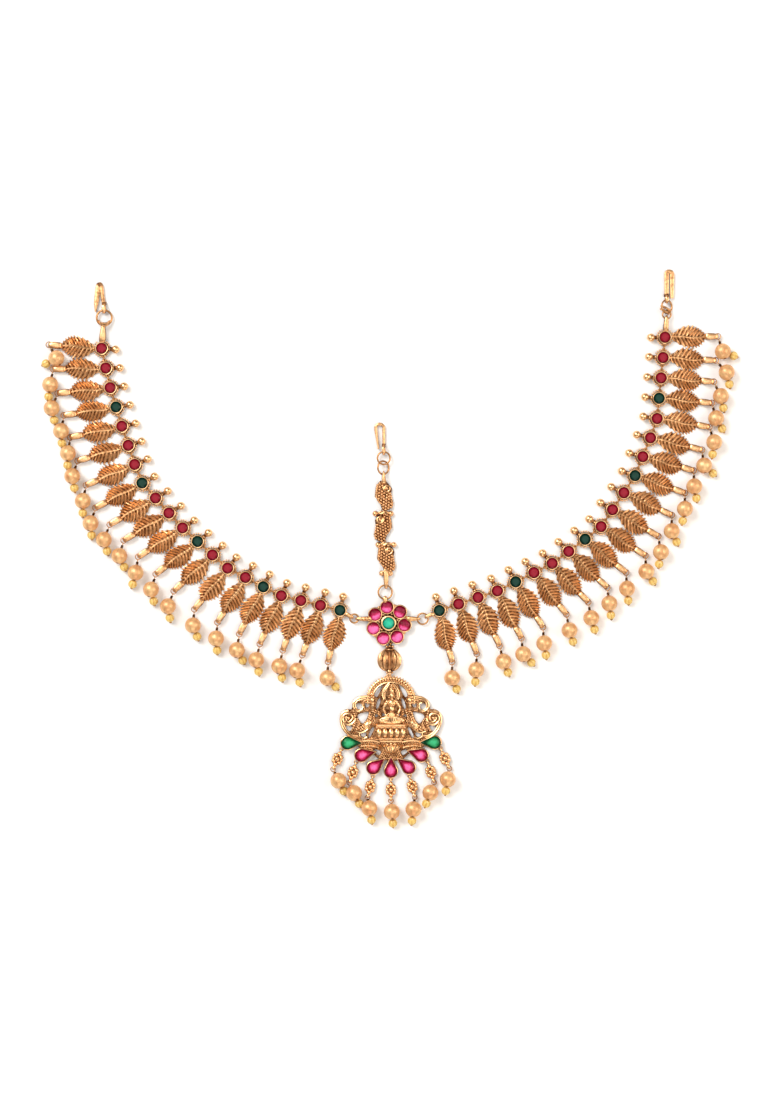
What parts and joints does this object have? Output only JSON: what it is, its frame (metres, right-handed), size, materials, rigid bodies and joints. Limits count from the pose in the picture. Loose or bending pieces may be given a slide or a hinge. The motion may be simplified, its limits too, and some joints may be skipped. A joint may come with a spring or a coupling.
{
  "type": "matha patti",
  "caption": "Hair ornament of two side strings of leaf links with bead drops, a short centre chain, a flower of set stones, a ribbed bud and a pierced plaque with hanging drops.",
  "frame": {"origin": "under the middle stone of the flower, on the back plane on which the ornament lies", "axes": "+X to the right string, +Y from the plaque to the centre hook, +Z from the back to the face"},
  "size_m": [0.2439, 0.1953, 0.0056],
  "materials": {
    "antique_gold": "matte antique gilt",
    "gilt_wire": "thin drawn wire",
    "ruby_glass": "foiled cut glass",
    "emerald_glass": "foiled cut glass",
    "pink_glass": "foiled cut glass",
    "peach_bead": "satin pearl bead"
  },
  "bodies": {
    "root": {"left_leaf_links": "antique_gold", "right_leaf_links": "antique_gold", "left_link_rings": "antique_gold", "right_link_rings": "antique_gold", "left_ruby_stones": "ruby_glass", "left_emerald_stones": "emerald_glass", "right_ruby_stones": "ruby_glass", "right_emerald_stones": "emerald_glass", "left_pearls": "peach_bead", "right_pearls": "peach_bead", "left_drop_wires": "gilt_wire", "right_drop_wires": "gilt_wire", "left_hook": "antique_gold", "right_hook": "antique_gold", "centre_hook": "antique_gold", "left_hook_ring": "antique_gold", "right_hook_ring": "antique_gold", "right_knot_ring": "antique_gold", "centre_ring_upper": "antique_gold", "centre_ring_lower": "antique_gold", "peacock_link_top": "antique_gold", "peacock_link_middle": "antique_gold", "peacock_link_bottom": "antique_gold", "chain_lower_ring": "antique_gold", "flower": "antique_gold", "flower_ring_left": "antique_gold", "flower_ring_right": "antique_gold", "flower_rubies": "pink_glass", "flower_emerald": "emerald_glass", "bud": "antique_gold", "bud_ring": "antique_gold", "plaque": "antique_gold", "drop_stone_1": "emerald_glass", "drop_stone_2": "pink_glass", "drop_stone_3": "pink_glass", "drop_stone_4": "pink_glass", "drop_stone_5": "pink_glass", "drop_stone_6": "pink_glass", "drop_stone_7": "emerald_glass", "granule_drop_1": "antique_gold", "granule_drop_2": "antique_gold", "granule_drop_3": "antique_gold", "granule_drop_4": "antique_gold", "granule_drop_5": "antique_gold", "granule_drop_6": "antique_gold", "granule_drop_7": "antique_gold", "pendant_pearl_1": "peach_bead", "pendant_pearl_2": "peach_bead", "pendant_pearl_3": "peach_bead", "pendant_pearl_4": "peach_bead", "pendant_pearl_5": "peach_bead", "pendant_pearl_6": "peach_bead", "pendant_pearl_7": "peach_bead", "pendant_wires": "gilt_wire"}
  },
  "joints": []
}
